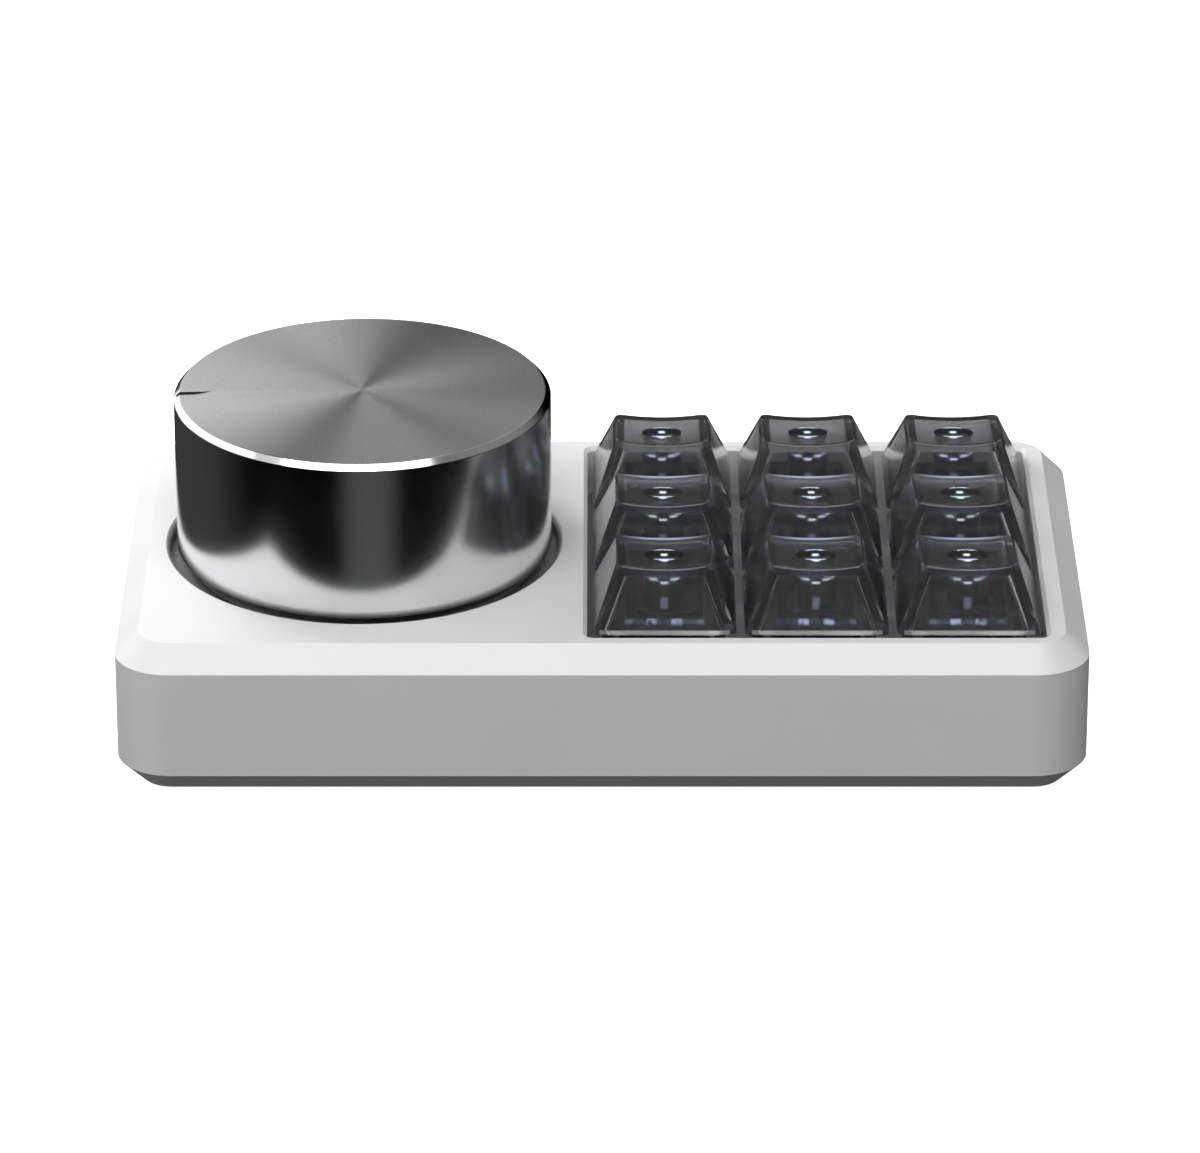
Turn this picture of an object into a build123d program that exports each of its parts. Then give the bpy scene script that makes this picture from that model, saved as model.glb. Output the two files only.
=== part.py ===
from build123d import *
import math
import os

# A desk macro keypad: nine sprung keys beside one large knob that turns and presses.
# Millimetres, +Z up, origin on the desk under the middle of the case, front towards -Y.

# Key grid and the opening that shows it
columns = 3
rows = 3
key_pitch = 19.05
cap_side = 18.0
gap_side = 0.7
gap_end = 0.95
opening_corner = 1.0
lip_bevel = 0.5

# Case
foot_height = 1.0
case_height = 20.0
base_thickness = 3.0
edge_chamfer = 3.0
corner_radius = 7.0
well_depth = 2.0
well_floor = 1.5
rim_side = 4.9
rim_end = 4.5
web = 2.6
knob_margin = 5.0
plate_ledge = 1.4
pocket_corner = 3.0
bay_margin = 0.5
seam_clearance = 0.3
board_clearance = 0.8

# Knob
knob_diameter = 48.0
knob_gap = 1.5
knob_rise = 20.95
knob_sink = 0.05
knob_chamfer = 0.75
knob_fillet = 0.4
knob_wall = 3.0
knob_roof = 4.0
hub_radius = 8.0
insert_radius = 5.5
insert_end = 2.0
mark_length = 4.1
mark_width = 0.95
mark_depth = 0.5
mark_angle = 3.2
press_travel = 0.5

# Rotary encoder with a push switch
encoder_side = 12.0
encoder_wall = 1.2
encoder_floor = 1.5
encoder_clearance = 0.4
bush_plate = 1.0
bush_radius = 3.5
bush_length = 5.0
shaft_radius = 3.0
shaft_fit = 0.05
shaft_length = 20.0
flat_length = 11.0
flat_depth = 1.5
collar_radius = 4.0
collar_height = 0.8
collar_drop = 0.3
plunger_radius = 2.6
plunger_height = 1.4
dome_radius = 2.2
dome_wall = 0.3
dome_spare = 1.1
hub_spare = 1.0

# Keycap: the top face slopes down to the back and is dished
cap_drop = 0.35
cap_corner = 0.9
cap_top_width = 12.0
cap_top_corner = 1.3
cap_front_inset = 2.5
cap_back_inset = 2.1
cap_front_height = 8.7
cap_back_height = 6.7
cap_edge = 0.35
dish_depth = 0.62
dish_spare = 0.3
cap_rim_wall = 1.45
cap_top_wall = 0.9
cap_roof = 1.8
cavity_corner = 0.6
post_radius = 2.65
post_lift = 0.4
slot_spare = 0.2

# Key switch, standard sizes
travel = 4.0
plate_to_board = 5.0
switch_cutout = 14.0
cutout_fit = 0.05
flange_side = 15.6
flange_thickness = 1.0
housing_rise = 6.6
top_side = 14.0
top_slope = 21.0
housing_wall = 1.2
switch_floor = 1.4
slider_length = 7.0
slider_width = 5.6
slider_clearance = 0.3
slider_stand = 0.05
skirt_extra = 0.4
skirt_gap = 0.1
skirt_spare = 1.2
cross_length = 4.0
cross_width = 1.25
cross_height = 3.6
cross_fit = 0.04
spring_radius = 2.1
spring_wall = 0.35
spring_clearance = 0.35
guide_radius = 1.1
guide_clearance = 0.35
guide_length = 5.5
spigot_radius = 1.95
spigot_length = 3.3
spigot_clearance = 0.15
pin_width = 1.2
pin_thickness = 0.5
pin_places = [(-3.81, 2.54), (2.54, 5.08)]
led_offset = 4.7
led_width = 3.2
led_depth = 2.8
led_height = 1.0
led_clearance = 0.3

# Plate, circuit board and what is soldered to it
plate_thickness = 1.5
board_thickness = 1.6
socket_height = 1.85
socket_arm = 4.0
socket_reach = 2.5
pin_clearance = 0.25
diode_length = 2.7
diode_width = 1.6
diode_height = 1.1
diode_offset = 7.2
chip_side = 7.0
chip_height = 0.9
chip_offset = 16.0
regulator_length = 3.0
regulator_width = 1.6
regulator_height = 1.2
crystal_length = 3.2
crystal_width = 2.5
crystal_height = 0.8
parts_gap = 3.0
usb_width = 8.94
usb_height = 3.26
usb_length = 7.35
usb_shell = 0.3
usb_back = 1.2
usb_setback = 0.4
usb_clearance = 0.4
tongue_width = 6.7
tongue_thickness = 0.7
tongue_setback = 1.0

# Screws, spacers and feet
screw_radius = 1.0
thread_fit = 0.05
hole_clearance = 0.15
head_radius = 1.8
head_height = 1.3
sink_radius = 1.9
sink_height = 0.9
case_screw_length = 7.0
plate_screw_length = 5.0
board_screw_length = 3.2
spacer_screw_length = 4.4
corner_boss_radius = 2.4
corner_boss_inset = 2.0
plate_boss_radius = 3.0
plate_boss_inset = 5.5
spacer_flats = 4.2
spacer_reach = 14.0
foot_radius = 5.0
foot_recess = 0.5
foot_inset_side = 13.0
foot_inset_end = 12.0

# Plan of the case, from the key block and the knob
block_width = (columns - 1) * key_pitch + cap_side
block_depth = (rows - 1) * key_pitch + cap_side
opening_width = block_width + 2 * gap_side
opening_depth = block_depth + 2 * gap_end
knob_radius = knob_diameter / 2
well_radius = knob_radius + knob_gap
case_width = knob_margin + 2 * well_radius + web + opening_width + 2 * lip_bevel + rim_side
case_depth = opening_depth + 2 * lip_bevel + 2 * rim_end
key_x = case_width / 2 - rim_side - lip_bevel - opening_width / 2
knob_x = -case_width / 2 + knob_margin + well_radius
pocket_x = case_width / 2 - rim_side - lip_bevel + plate_ledge
pocket_y = case_depth / 2 - rim_end - lip_bevel + plate_ledge
bay_right = knob_x + well_radius + bay_margin

# Heights above the desk
base_top = foot_height + base_thickness
case_top = foot_height + case_height
well_bottom = case_top - well_depth
roof_under = well_bottom - well_floor
rim_over_plate = housing_rise + slider_stand - post_lift
screw_reach = spacer_screw_length - base_thickness + board_screw_length - board_thickness
board_room = max(screw_reach, socket_height) + seam_clearance
lowest_plate = base_top + board_room + board_thickness + plate_to_board
plate_top = max(case_top - cap_drop - rim_over_plate, lowest_plate)
cap_rim = plate_top + rim_over_plate
plate_under = plate_top - plate_thickness
board_top = plate_top - plate_to_board
board_under = board_top - board_thickness
knob_bottom = case_top - knob_sink
knob_top = case_top + knob_rise
dome_bottom = board_top + encoder_floor
plunger_bottom = dome_bottom + press_travel + dome_spare
shaft_bottom = plunger_bottom + plunger_height
collar_top = shaft_bottom + collar_height
encoder_top = collar_top + collar_drop
bush_base = encoder_top + bush_plate
bush_top = bush_base + bush_length
shaft_top = bush_base + shaft_length
hub_bottom = bush_top + press_travel + hub_spare
insert_top = shaft_top + insert_end

# Heights inside a switch, measured from the top of the plate
floor_level = -plate_to_board + switch_floor
ceiling_level = housing_rise - housing_wall
slider_top = housing_rise + slider_stand
skirt_top = ceiling_level - skirt_gap
skirt_bottom = floor_level + travel + skirt_spare
spring_top = skirt_top - housing_wall

# Places that several pieces share
key_places = []
for row in range(rows):
    for column in range(columns):
        across = key_x + (column - (columns - 1) / 2) * key_pitch
        along = ((rows - 1) / 2 - row) * key_pitch
        key_places.append((across, along))
corner_x = pocket_x - corner_boss_inset
corner_y = pocket_y - corner_boss_inset
corner_places = [(sx * corner_x, sy * corner_y) for sx in (-1, 1) for sy in (-1, 1)]
boss_y = pocket_y - plate_boss_inset
boss_places = [(-pocket_x + plate_boss_inset, -boss_y), (-pocket_x + plate_boss_inset, boss_y)]
boss_places += [(bay_right - plate_boss_inset, -boss_y), (bay_right - plate_boss_inset, boss_y)]
spacer_places = [(knob_x - spacer_reach, 0.0), (knob_x + spacer_reach, 0.0)]
for column in range(columns - 1):
    for row in range(rows - 1):
        across = key_x + (column - (columns - 2) / 2) * key_pitch
        along = (row - (rows - 2) / 2) * key_pitch
        spacer_places.append((across, along))
foot_x = case_width / 2 - foot_inset_side
foot_y = case_depth / 2 - foot_inset_end
foot_places = [(sx * foot_x, sy * foot_y) for sx in (-1, 1) for sy in (-1, 1)]


def block(width, depth, low, high, x=0.0, y=0.0, corner=0.0):
    """A straight block over a rectangle, with rounded upright edges if a corner is given."""
    outline = RectangleRounded(width, depth, corner) if corner else Rectangle(width, depth)
    return extrude(Pos(x, y, low) * outline, high - low)


def round_bar(radius, low, high, x=0.0, y=0.0):
    """An upright round bar."""
    return extrude(Pos(x, y, low) * Circle(radius), high - low)


def bars(radius, low, high, places):
    """The same upright round bar at several places."""
    return [round_bar(radius, low, high, x, y) for x, y in places]


def at_places(piece, places, height):
    """Copies of one piece, moved to each place at one height."""
    return [Pos(x, y, height) * piece for x, y in places]


def screw(low, length, head_below, sunk):
    """A machine screw on the Z axis whose shank starts at low and runs up or down."""
    shank = round_bar(screw_radius, min(low, low + length), max(low, low + length))
    if sunk:
        return shank + Pos(0, 0, low) * sunk_head()
    head_low = low - head_height if head_below else low
    return shank + round_bar(head_radius, head_low, head_low + head_height)


def sunk_head():
    """A countersunk head that widens downwards, its flat side on the plane z = 0."""
    return loft([Circle(sink_radius), Pos(0, 0, sink_height) * Circle(screw_radius)], ruled=True)


def save(name, pieces):
    """Write one named piece, or a group of separate like pieces."""
    solids = pieces if isinstance(pieces, list) else [pieces]
    shape = solids[0] if len(solids) == 1 else Compound(children=solids)
    export_step(shape, f"parts/{name}.step")


def top_case():
    """White metal shell: chamfered block with a shallow knob well, a key opening and a pocket below."""
    shoulder = case_top - edge_chamfer
    outline = RectangleRounded(case_width, case_depth, corner_radius)
    shell = extrude(Pos(0, 0, base_top) * outline, shoulder - base_top)
    shell += extrude(Pos(0, 0, shoulder) * outline, edge_chamfer, taper=45)
    shell -= block(2 * pocket_x, 2 * pocket_y, base_top, plate_top, corner=pocket_corner)
    bay_width = pocket_x + bay_right
    bay_x = (bay_right - pocket_x) / 2
    shell -= block(bay_width, 2 * pocket_y, plate_top, roof_under, x=bay_x, corner=pocket_corner)
    shell -= block(opening_width, opening_depth, plate_top, case_top, x=key_x, corner=opening_corner)
    lip_width = opening_width + 2 * lip_bevel
    lip_depth = opening_depth + 2 * lip_bevel
    lip = RectangleRounded(lip_width, lip_depth, opening_corner + lip_bevel)
    shell -= extrude(Pos(key_x, 0, case_top) * lip, -lip_bevel, taper=45)
    shell -= round_bar(well_radius - lip_bevel, well_bottom, case_top, knob_x)
    encoder_hole = math.hypot(encoder_side, encoder_side) / 2 + encoder_clearance
    shell -= round_bar(encoder_hole, roof_under, well_bottom, knob_x)
    shell -= extrude(Pos(knob_x, 0, case_top) * Circle(well_radius), -lip_bevel, taper=45)
    shell += bars(corner_boss_radius, base_top, plate_top, corner_places)
    shell += bars(plate_boss_radius, plate_top, roof_under, boss_places)
    thread = screw_radius + thread_fit
    thread_top = base_top + case_screw_length
    shell -= bars(thread, base_top, thread_top, corner_places)
    shell -= bars(thread, plate_top, plate_under + plate_screw_length, boss_places)
    slot = usb_outline(usb_clearance)
    return shell - extrude(slot, case_depth / 2 - pocket_y + usb_length, both=True)


def base_plate():
    """White metal bottom plate: its edge slopes in at 45 degrees over the whole thickness."""
    outline = RectangleRounded(case_width, case_depth, corner_radius)
    plate = extrude(Pos(0, 0, base_top) * outline, -base_thickness, taper=45)
    plate -= bars(foot_radius, foot_height, foot_height + foot_recess, foot_places)
    through = screw_radius + hole_clearance
    plate -= bars(through, foot_height, base_top, corner_places + spacer_places)
    for x, y in corner_places + spacer_places:
        plate -= Pos(x, y, foot_height) * sunk_head()
    return plate


def switch_plate():
    """Black plate under the case rim; the switches clip into its square holes."""
    half_x = pocket_x - seam_clearance
    half_y = pocket_y - seam_clearance
    plate = block(2 * half_x, 2 * half_y, plate_under, plate_top)
    plate -= bars(corner_boss_radius + seam_clearance, plate_under, plate_top, corner_places)
    plate -= bars(screw_radius + hole_clearance, plate_under, plate_top, boss_places)
    cutout = block(switch_cutout, switch_cutout, plate_under, plate_top)
    for x, y in key_places:
        plate -= Pos(x, y, 0) * cutout
    window = encoder_side + 2 * encoder_clearance
    plate -= block(window, window, plate_under, plate_top, x=knob_x)
    notch_low = case_depth / 2 - usb_setback - usb_length - usb_clearance
    notch_depth = half_y - notch_low
    notch_width = usb_width + 2 * usb_clearance
    plate -= block(notch_width, notch_depth, plate_under, plate_top, y=notch_low + notch_depth / 2)
    return plate


def circuit_board():
    """Circuit board with holes for the switch spigots, contact pins and screws."""
    half_x = pocket_x - board_clearance
    half_y = pocket_y - board_clearance
    board = block(2 * half_x, 2 * half_y, board_under, board_top)
    board -= bars(corner_boss_radius + board_clearance, board_under, board_top, corner_places)
    board -= bars(head_radius + board_clearance, board_under, board_top, boss_places)
    board -= bars(screw_radius + hole_clearance, board_under, board_top, spacer_places)
    board -= bars(spigot_radius + spigot_clearance, board_under, board_top, key_places)
    pin_radius = math.hypot(pin_width, pin_thickness) / 2 + pin_clearance
    for x, y in key_places:
        board -= bars(pin_radius, board_under, board_top, [(x + px, y + py) for px, py in pin_places])
    return board


def switch_base():
    """Lower switch housing: box with a flange on the plate, a spigot and a light window."""
    side = switch_cutout - 2 * cutout_fit
    base = block(side, side, -plate_to_board, 0)
    base += block(flange_side, flange_side, 0, flange_thickness)
    base += round_bar(spigot_radius, -plate_to_board - spigot_length, -plate_to_board)
    cavity = side - 2 * housing_wall
    base -= block(cavity, cavity, floor_level, flange_thickness)
    well_low = spring_top - guide_length - travel - guide_clearance
    base -= round_bar(guide_radius + guide_clearance, well_low, floor_level)
    window_x = led_width + 2 * led_clearance
    window_y = led_depth + 2 * led_clearance
    return base - block(window_x, window_y, -plate_to_board, floor_level, y=-led_offset)


def switch_top():
    """Upper switch housing: tapered clear shell with a hole for the slider."""
    rise = housing_rise - flange_thickness
    room = ceiling_level - flange_thickness
    cavity = top_side - 2 * housing_wall
    shell = extrude(Pos(0, 0, flange_thickness) * Rectangle(top_side, top_side), rise, taper=top_slope)
    shell -= extrude(Pos(0, 0, flange_thickness) * Rectangle(cavity, cavity), room, taper=top_slope)
    hole_x = slider_length + 2 * slider_clearance
    hole_y = slider_width + 2 * slider_clearance
    return shell - block(hole_x, hole_y, ceiling_level, housing_rise)


def switch_stem():
    """Slider with a retaining skirt, a guide pin inside the spring and the cross for the cap."""
    stem = block(slider_length, slider_width, skirt_bottom, slider_top)
    stem += block(slider_length + 2 * skirt_extra, slider_width + 2 * skirt_extra, skirt_bottom, skirt_top)
    stem -= round_bar(spring_radius + spring_clearance, skirt_bottom, spring_top)
    stem += round_bar(guide_radius, spring_top - guide_length, spring_top)
    stem += block(cross_length, cross_width, slider_top, slider_top + cross_height)
    return stem + block(cross_width, cross_length, slider_top, slider_top + cross_height)


def switch_spring():
    """Envelope of the return spring, from the housing floor to the slider."""
    outside = round_bar(spring_radius, floor_level, spring_top)
    return outside - round_bar(spring_radius - spring_wall, floor_level, spring_top)


def switch_pins():
    """The two flat contact pins under one switch."""
    low = -plate_to_board - spigot_length
    return [block(pin_width, pin_thickness, low, -plate_to_board, x=px, y=py) for px, py in pin_places]


def hot_swap_socket():
    """Stepped contact block under the board that grips both pins of a switch."""
    left, right = pin_places
    top = -plate_to_board - board_thickness
    low = top - socket_height
    near = block(2 * socket_reach, socket_arm, low, top, x=left[0] - socket_reach / 2, y=left[1])
    start = left[0]
    end = right[0] + socket_reach
    far = block(end - start, socket_arm, low, top, x=(start + end) / 2, y=right[1])
    body = near + far - round_bar(spigot_radius + spigot_clearance, low, top)
    pin_radius = math.hypot(pin_width, pin_thickness) / 2 + cutout_fit
    return body - bars(pin_radius, low, top, pin_places)


def cap_plane(drop):
    """The sloping plane of the cap's top corners, lowered square to itself by drop."""
    front = Vector(0, -cap_side / 2 + cap_front_inset, cap_front_height)
    back = Vector(0, cap_side / 2 - cap_back_inset, cap_back_height)
    plane = Plane(origin=(front + back) * 0.5, x_dir=(1, 0, 0), z_dir=Vector(1, 0, 0).cross(back - front))
    return plane.offset(-drop), (back - front).length


def dish_section(plane, place):
    """Cross-section of the space above the dish, at one place along the sloping top."""
    half = cap_top_width / 2 + dish_spare
    face = Plane(origin=plane.from_local_coords((0, place, 0)), x_dir=plane.x_dir, z_dir=-plane.y_dir)
    arc = ThreePointArc((-half, 0), (0, -dish_depth), (half, 0))
    over = Polyline((half, 0), (half, half), (-half, half), (-half, 0))
    return face * make_face([arc, over])


def keycap():
    """Hollow dished cap, tapered from a square rim to its sloping top, with a cross-slotted post."""
    plane, length = cap_plane(0.0)
    rim = RectangleRounded(cap_side, cap_side, cap_corner)
    crown = plane * RectangleRounded(cap_top_width, length, cap_top_corner)
    cap = loft([rim, crown], ruled=True)
    cap -= loft([dish_section(plane, -length), dish_section(plane, length)], ruled=True)
    top_edges = cap.faces().sort_by(Axis.Z)[-1].edges()
    cap = fillet(top_edges, cap_edge)
    ceiling, length = cap_plane(cap_roof)
    inner_rim = cap_side - 2 * cap_rim_wall
    inner_top = cap_top_width - 2 * cap_top_wall
    mouth = RectangleRounded(inner_rim, inner_rim, cavity_corner)
    upper = ceiling * RectangleRounded(inner_top, length - 2 * cap_top_wall, cavity_corner)
    hollow = loft([mouth, upper], ruled=True)
    slot_top = post_lift + cross_height + slot_spare
    post = round_bar(post_radius, post_lift, cap_front_height)
    post -= block(cross_length + 2 * cross_fit, cross_width + 2 * cross_fit, post_lift, slot_top)
    post -= block(cross_width + 2 * cross_fit, cross_length + 2 * cross_fit, post_lift, slot_top)
    return cap - (hollow - post)


def usb_outline(growth):
    """Rounded outline of the USB-C socket on the rear face, grown evenly."""
    mouth = (0, case_depth / 2 - usb_setback, board_top + usb_height / 2)
    rear = Plane(origin=mouth, x_dir=(1, 0, 0), z_dir=(0, -1, 0))
    tall = usb_height + 2 * growth
    return rear * SlotOverall(usb_width + 2 * growth, tall)


def usb_socket():
    """Drawn metal shell of the USB-C socket, open to the rear."""
    shell = extrude(usb_outline(0.0), usb_length)
    return shell - extrude(usb_outline(-usb_shell), usb_length - usb_back)


def usb_tongue():
    """Contact tongue inside the socket."""
    rear = case_depth / 2 - usb_setback
    front = rear - usb_length + usb_back
    middle = board_top + usb_height / 2
    low = middle - tongue_thickness / 2
    depth = rear - tongue_setback - front
    return block(tongue_width, depth, low, low + tongue_thickness, y=front + depth / 2)


def encoder_body():
    """Moulded encoder body on the board, open at the top for its rotor and push switch."""
    body = block(encoder_side, encoder_side, board_top, encoder_top, x=knob_x)
    room = encoder_side / 2 - encoder_wall
    return body - round_bar(room, dome_bottom, encoder_top, knob_x)


def encoder_bush():
    """Metal lid of the encoder with the bush that carries the shaft."""
    bush = block(encoder_side, encoder_side, encoder_top, bush_base, x=knob_x)
    bush += round_bar(bush_radius, bush_base, bush_top, knob_x)
    return bush - round_bar(shaft_radius + shaft_fit, encoder_top, bush_top, knob_x)


def encoder_dome():
    """Envelope of the snap dome that pushes the plunger back up."""
    outside = round_bar(dome_radius, dome_bottom, plunger_bottom, knob_x)
    return outside - round_bar(dome_radius - dome_wall, dome_bottom, plunger_bottom, knob_x)


def d_bar(growth, low, high):
    """Upright bar with the flat of the encoder shaft, grown evenly."""
    bar = round_bar(shaft_radius + growth, low, high, knob_x)
    side = 2 * (shaft_radius + growth)
    flat_y = shaft_radius - flat_depth + growth
    return bar - block(side, side, low, high, x=knob_x, y=flat_y + side / 2)


def encoder_shaft():
    """Steel shaft with a collar under the bush and a flat for the knob."""
    flat_bottom = shaft_top - flat_length
    shaft = round_bar(collar_radius, shaft_bottom, collar_top, knob_x)
    shaft += round_bar(shaft_radius, collar_top, flat_bottom, knob_x)
    return shaft + d_bar(0.0, flat_bottom, shaft_top)


def knob():
    """Turned metal knob: hollow drum with a chamfered top, a hub and one mark that deepens to the rim."""
    drum = round_bar(knob_radius, knob_bottom, knob_top, knob_x)
    rims = drum.edges().filter_by(GeomType.CIRCLE).sort_by(Axis.Z)
    drum = chamfer(rims[-1], knob_chamfer)
    rims = drum.edges().filter_by(GeomType.CIRCLE).sort_by(Axis.Z)
    drum = fillet(rims[0], knob_fillet)
    hollow = round_bar(knob_radius - knob_wall, knob_bottom, knob_top - knob_roof, knob_x)
    hollow -= round_bar(hub_radius, hub_bottom, knob_top - knob_roof, knob_x)
    hollow += round_bar(insert_radius, hub_bottom, insert_top, knob_x)
    mark_end = knob_radius - knob_chamfer - mark_length
    wedge = Polyline((-mark_end, knob_top), (-knob_radius, knob_top), (-knob_radius, knob_top - mark_depth),
                     close=True)
    mark = extrude(Plane.XZ * make_face(wedge), mark_width / 2, both=True)
    return drum - hollow - Pos(knob_x, 0, 0) * Rot(0, 0, mark_angle) * mark


def knob_insert():
    """Plastic bush pressed into the hub, with a D-shaped bore on the shaft."""
    bush = round_bar(insert_radius, hub_bottom, insert_top, knob_x)
    flat_bottom = shaft_top - flat_length
    bush -= round_bar(shaft_radius + cross_fit, hub_bottom, flat_bottom, knob_x)
    return bush - d_bar(cross_fit, flat_bottom, shaft_top)


def spacer():
    """Hexagonal spacer between the bottom plate and the circuit board."""
    outline = RegularPolygon(spacer_flats / 2, 6, major_radius=False)
    height = board_under - base_top
    return extrude(outline, height) - round_bar(screw_radius + thread_fit, 0, height)


def board_block(length, width, height, x, y):
    """A small moulded component soldered under the board."""
    return block(length, width, board_under - height, board_under, x, y)


os.makedirs("parts", exist_ok=True)

save("top_case", top_case())
save("base_plate", base_plate())
feet = bars(foot_radius, 0, foot_height + foot_recess, foot_places)
save("rubber_feet", feet)
case_screw = screw(0, sink_height + case_screw_length, True, True)
save("case_screws", at_places(case_screw, corner_places, foot_height))
save("spacer_screws", at_places(screw(0, spacer_screw_length, True, True), spacer_places, foot_height))
save("spacers", at_places(spacer(), spacer_places, base_top))
save("board_screws", at_places(screw(0, -board_screw_length, False, False), spacer_places, board_top))
save("plate_screws", at_places(screw(0, plate_screw_length, True, False), boss_places, plate_under))

save("switch_plate", switch_plate())
save("circuit_board", circuit_board())
save("hot_swap_sockets", at_places(hot_swap_socket(), key_places, plate_top))
led = block(led_width, led_depth, -plate_to_board, -plate_to_board + led_height, y=-led_offset)
save("key_lights", at_places(led, key_places, plate_top))
diode = board_block(diode_length, diode_width, diode_height, 0, -diode_offset)
save("switch_diodes", at_places(diode, key_places, 0))
save("controller_chip", board_block(chip_side, chip_side, chip_height, knob_x, chip_offset))
regulator_x = knob_x - chip_side / 2 - parts_gap - regulator_length / 2
regulator = board_block(regulator_length, regulator_width, regulator_height, regulator_x, chip_offset)
save("voltage_regulator", regulator)
crystal_x = knob_x + chip_side / 2 + parts_gap + crystal_length / 2
save("clock_crystal", board_block(crystal_length, crystal_width, crystal_height, crystal_x, chip_offset))
save("usb_socket", usb_socket())
save("usb_tongue", usb_tongue())

save("switch_bases", at_places(switch_base(), key_places, plate_top))
save("switch_tops", at_places(switch_top(), key_places, plate_top))
pins = []
for pin in switch_pins():
    pins += at_places(pin, key_places, plate_top)
save("switch_pins", pins)

cap = keycap()
stem = switch_stem()
spring = switch_spring()
for number, (x, y) in enumerate(key_places, start=1):
    save(f"keycap_{number}", Pos(x, y, cap_rim) * cap)
    save(f"switch_stem_{number}", Pos(x, y, plate_top) * stem)
    save(f"switch_spring_{number}", Pos(x, y, plate_top) * spring)

save("encoder_body", encoder_body())
save("encoder_bush", encoder_bush())
save("encoder_dome", encoder_dome())
save("encoder_plunger", round_bar(plunger_radius, plunger_bottom, shaft_bottom, knob_x))
save("encoder_shaft", encoder_shaft())
save("knob_insert", knob_insert())
save("knob", knob())

print("case", round(case_width, 2), round(case_depth, 2))
print("knob top", round(knob_top, 2), "plate top", round(plate_top, 2))
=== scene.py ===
import math

import bmesh
import bpy
from mathutils import Matrix, Vector


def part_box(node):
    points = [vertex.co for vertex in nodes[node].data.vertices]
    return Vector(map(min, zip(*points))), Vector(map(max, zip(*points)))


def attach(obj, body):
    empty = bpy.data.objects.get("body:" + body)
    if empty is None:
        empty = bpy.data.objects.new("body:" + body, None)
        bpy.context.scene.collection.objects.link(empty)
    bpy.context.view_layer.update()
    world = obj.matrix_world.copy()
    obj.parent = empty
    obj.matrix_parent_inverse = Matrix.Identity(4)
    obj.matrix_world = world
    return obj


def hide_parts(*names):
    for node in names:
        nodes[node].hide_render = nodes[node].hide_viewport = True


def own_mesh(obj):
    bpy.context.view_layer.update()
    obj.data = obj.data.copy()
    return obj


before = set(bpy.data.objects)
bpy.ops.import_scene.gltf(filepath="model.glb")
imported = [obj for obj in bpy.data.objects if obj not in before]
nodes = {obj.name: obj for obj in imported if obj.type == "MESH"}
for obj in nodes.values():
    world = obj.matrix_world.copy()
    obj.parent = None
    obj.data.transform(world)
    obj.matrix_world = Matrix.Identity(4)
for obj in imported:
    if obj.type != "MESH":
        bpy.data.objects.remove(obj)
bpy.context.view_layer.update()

# White case: an upper shell and a bottom plate, cut from aluminium and powder coated white.
# Four screws from below hold them together. The satin coat has a fine, even orange peel.
# The knob's well is coloured grey round its edge and darker on its floor: painted shade, so that the gap
# looks deep.
mm = 0.001
coat_dark = (0.745, 0.747, 0.755, 1.0)
coat_light = (0.775, 0.777, 0.785, 1.0)
coat_patches = 55.0
coat_peel_scale = 2600.0
coat_peel_depth = 0.006 * mm
coat_roughness = (0.38, 0.46)
coat_gloss = 0.8
well_depth = 2.0 * mm
well_floor = 1.5 * mm
well_radius = 25.6 * mm
well_ring = 3.4 * mm
well_edge = 0.25 * mm
well_edge_blur = well_edge / 4
well_wall_painted_shade = (0.28, 0.28, 0.283, 1.0)
well_floor_painted_shade = (0.18, 0.18, 0.182, 1.0)
mix_first_colour = 6
mix_second_colour = 7
mix_colour_result = 2


def add_node(tree, kind, inputs=None, **settings):
    """A node in a tree, with its settings and the values of its inputs."""
    node = tree.nodes.new(kind)
    for name, value in settings.items():
        setattr(node, name, value)
    for name, value in (inputs or {}).items():
        node.inputs[name].default_value = value
    return node


def object_place(tree):
    """Place of a point on its piece, in the frame that all pieces share."""
    return add_node(tree, "ShaderNodeTexCoord").outputs["Object"]


def new_group(name, numbers, results):
    """A node group with number inputs and number outputs, and its two end nodes."""
    group = bpy.data.node_groups.new(name, "ShaderNodeTree")
    for label in numbers:
        group.interface.new_socket(label, in_out="INPUT", socket_type="NodeSocketFloat")
    for label in results:
        group.interface.new_socket(label, in_out="OUTPUT", socket_type="NodeSocketFloat")
    return group, group.nodes.new("NodeGroupInput"), group.nodes.new("NodeGroupOutput")


def make_mottle():
    """Soft uneven patches, as a mask and as a value between two ends."""
    group, given, result = new_group("mottle", ["Scale", "Low", "High"], ["Mask", "Value"])
    noise = add_node(group, "ShaderNodeTexNoise", {"Detail": 4.0, "Roughness": 0.6})
    spread = add_node(group, "ShaderNodeMapRange", {"From Min": 0.3, "From Max": 0.7})
    ends = add_node(group, "ShaderNodeMapRange")
    group.links.new(object_place(group), noise.inputs["Vector"])
    group.links.new(given.outputs["Scale"], noise.inputs["Scale"])
    group.links.new(noise.outputs["Fac"], spread.inputs["Value"])
    group.links.new(spread.outputs["Result"], ends.inputs["Value"])
    group.links.new(given.outputs["Low"], ends.inputs["To Min"])
    group.links.new(given.outputs["High"], ends.inputs["To Max"])
    group.links.new(spread.outputs["Result"], result.inputs["Mask"])
    group.links.new(ends.outputs["Result"], result.inputs["Value"])
    return group


def make_grain():
    """Height of a fine even grain, such as orange peel or a moulded texture."""
    group, given, result = new_group("grain", ["Scale"], ["Height"])
    noise = add_node(group, "ShaderNodeTexNoise", {"Detail": 2.0, "Roughness": 0.5})
    group.links.new(object_place(group), noise.inputs["Vector"])
    group.links.new(given.outputs["Scale"], noise.inputs["Scale"])
    group.links.new(noise.outputs["Fac"], result.inputs["Height"])
    return group


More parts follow.
